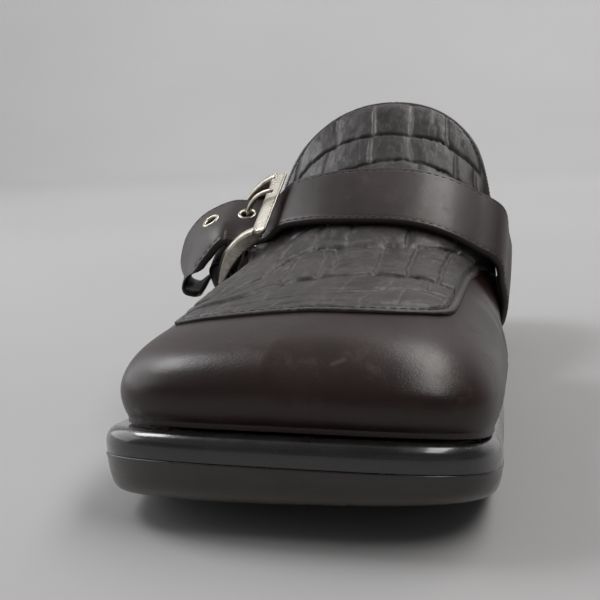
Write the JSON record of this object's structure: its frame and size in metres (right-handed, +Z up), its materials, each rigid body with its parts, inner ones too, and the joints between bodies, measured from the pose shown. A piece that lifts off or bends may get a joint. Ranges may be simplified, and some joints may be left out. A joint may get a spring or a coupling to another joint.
{
  "type": "mule",
  "caption": "Square-toed leather mule with an embossed plug and tongue, an instep strap buckled at the outer side and an open heel.",
  "frame": {"origin": "centre of the bounding box, on the floor", "axes": "+Z up, the toe towards -Y and the heel towards +Y, the inner side of the foot towards +X"},
  "size_m": [0.1096, 0.262, 0.0954],
  "materials": {
    "sole_rubber": "satin black rubber, scuffed edge",
    "welt_black": "glossy black edge",
    "heel_black": "satin black",
    "tan_sock": "matt lining leather",
    "smooth_leather": "smooth black leather, soft sheen",
    "embossed_leather": "embossed black leather, polished on its raised cells",
    "aged_nickel": "aged nickel, brushed by wear"
  },
  "bodies": {
    "root": {"outsole": "sole_rubber", "midsole": "welt_black", "heel": "heel_black", "insole": "tan_sock", "upper": "smooth_leather", "plug_tongue": "embossed_leather", "strap": "smooth_leather", "chape": "smooth_leather", "eyelet_1": "aged_nickel", "eyelet_2": "aged_nickel", "buckle_frame": "aged_nickel", "buckle_prong": "aged_nickel"}
  },
  "joints": []
}
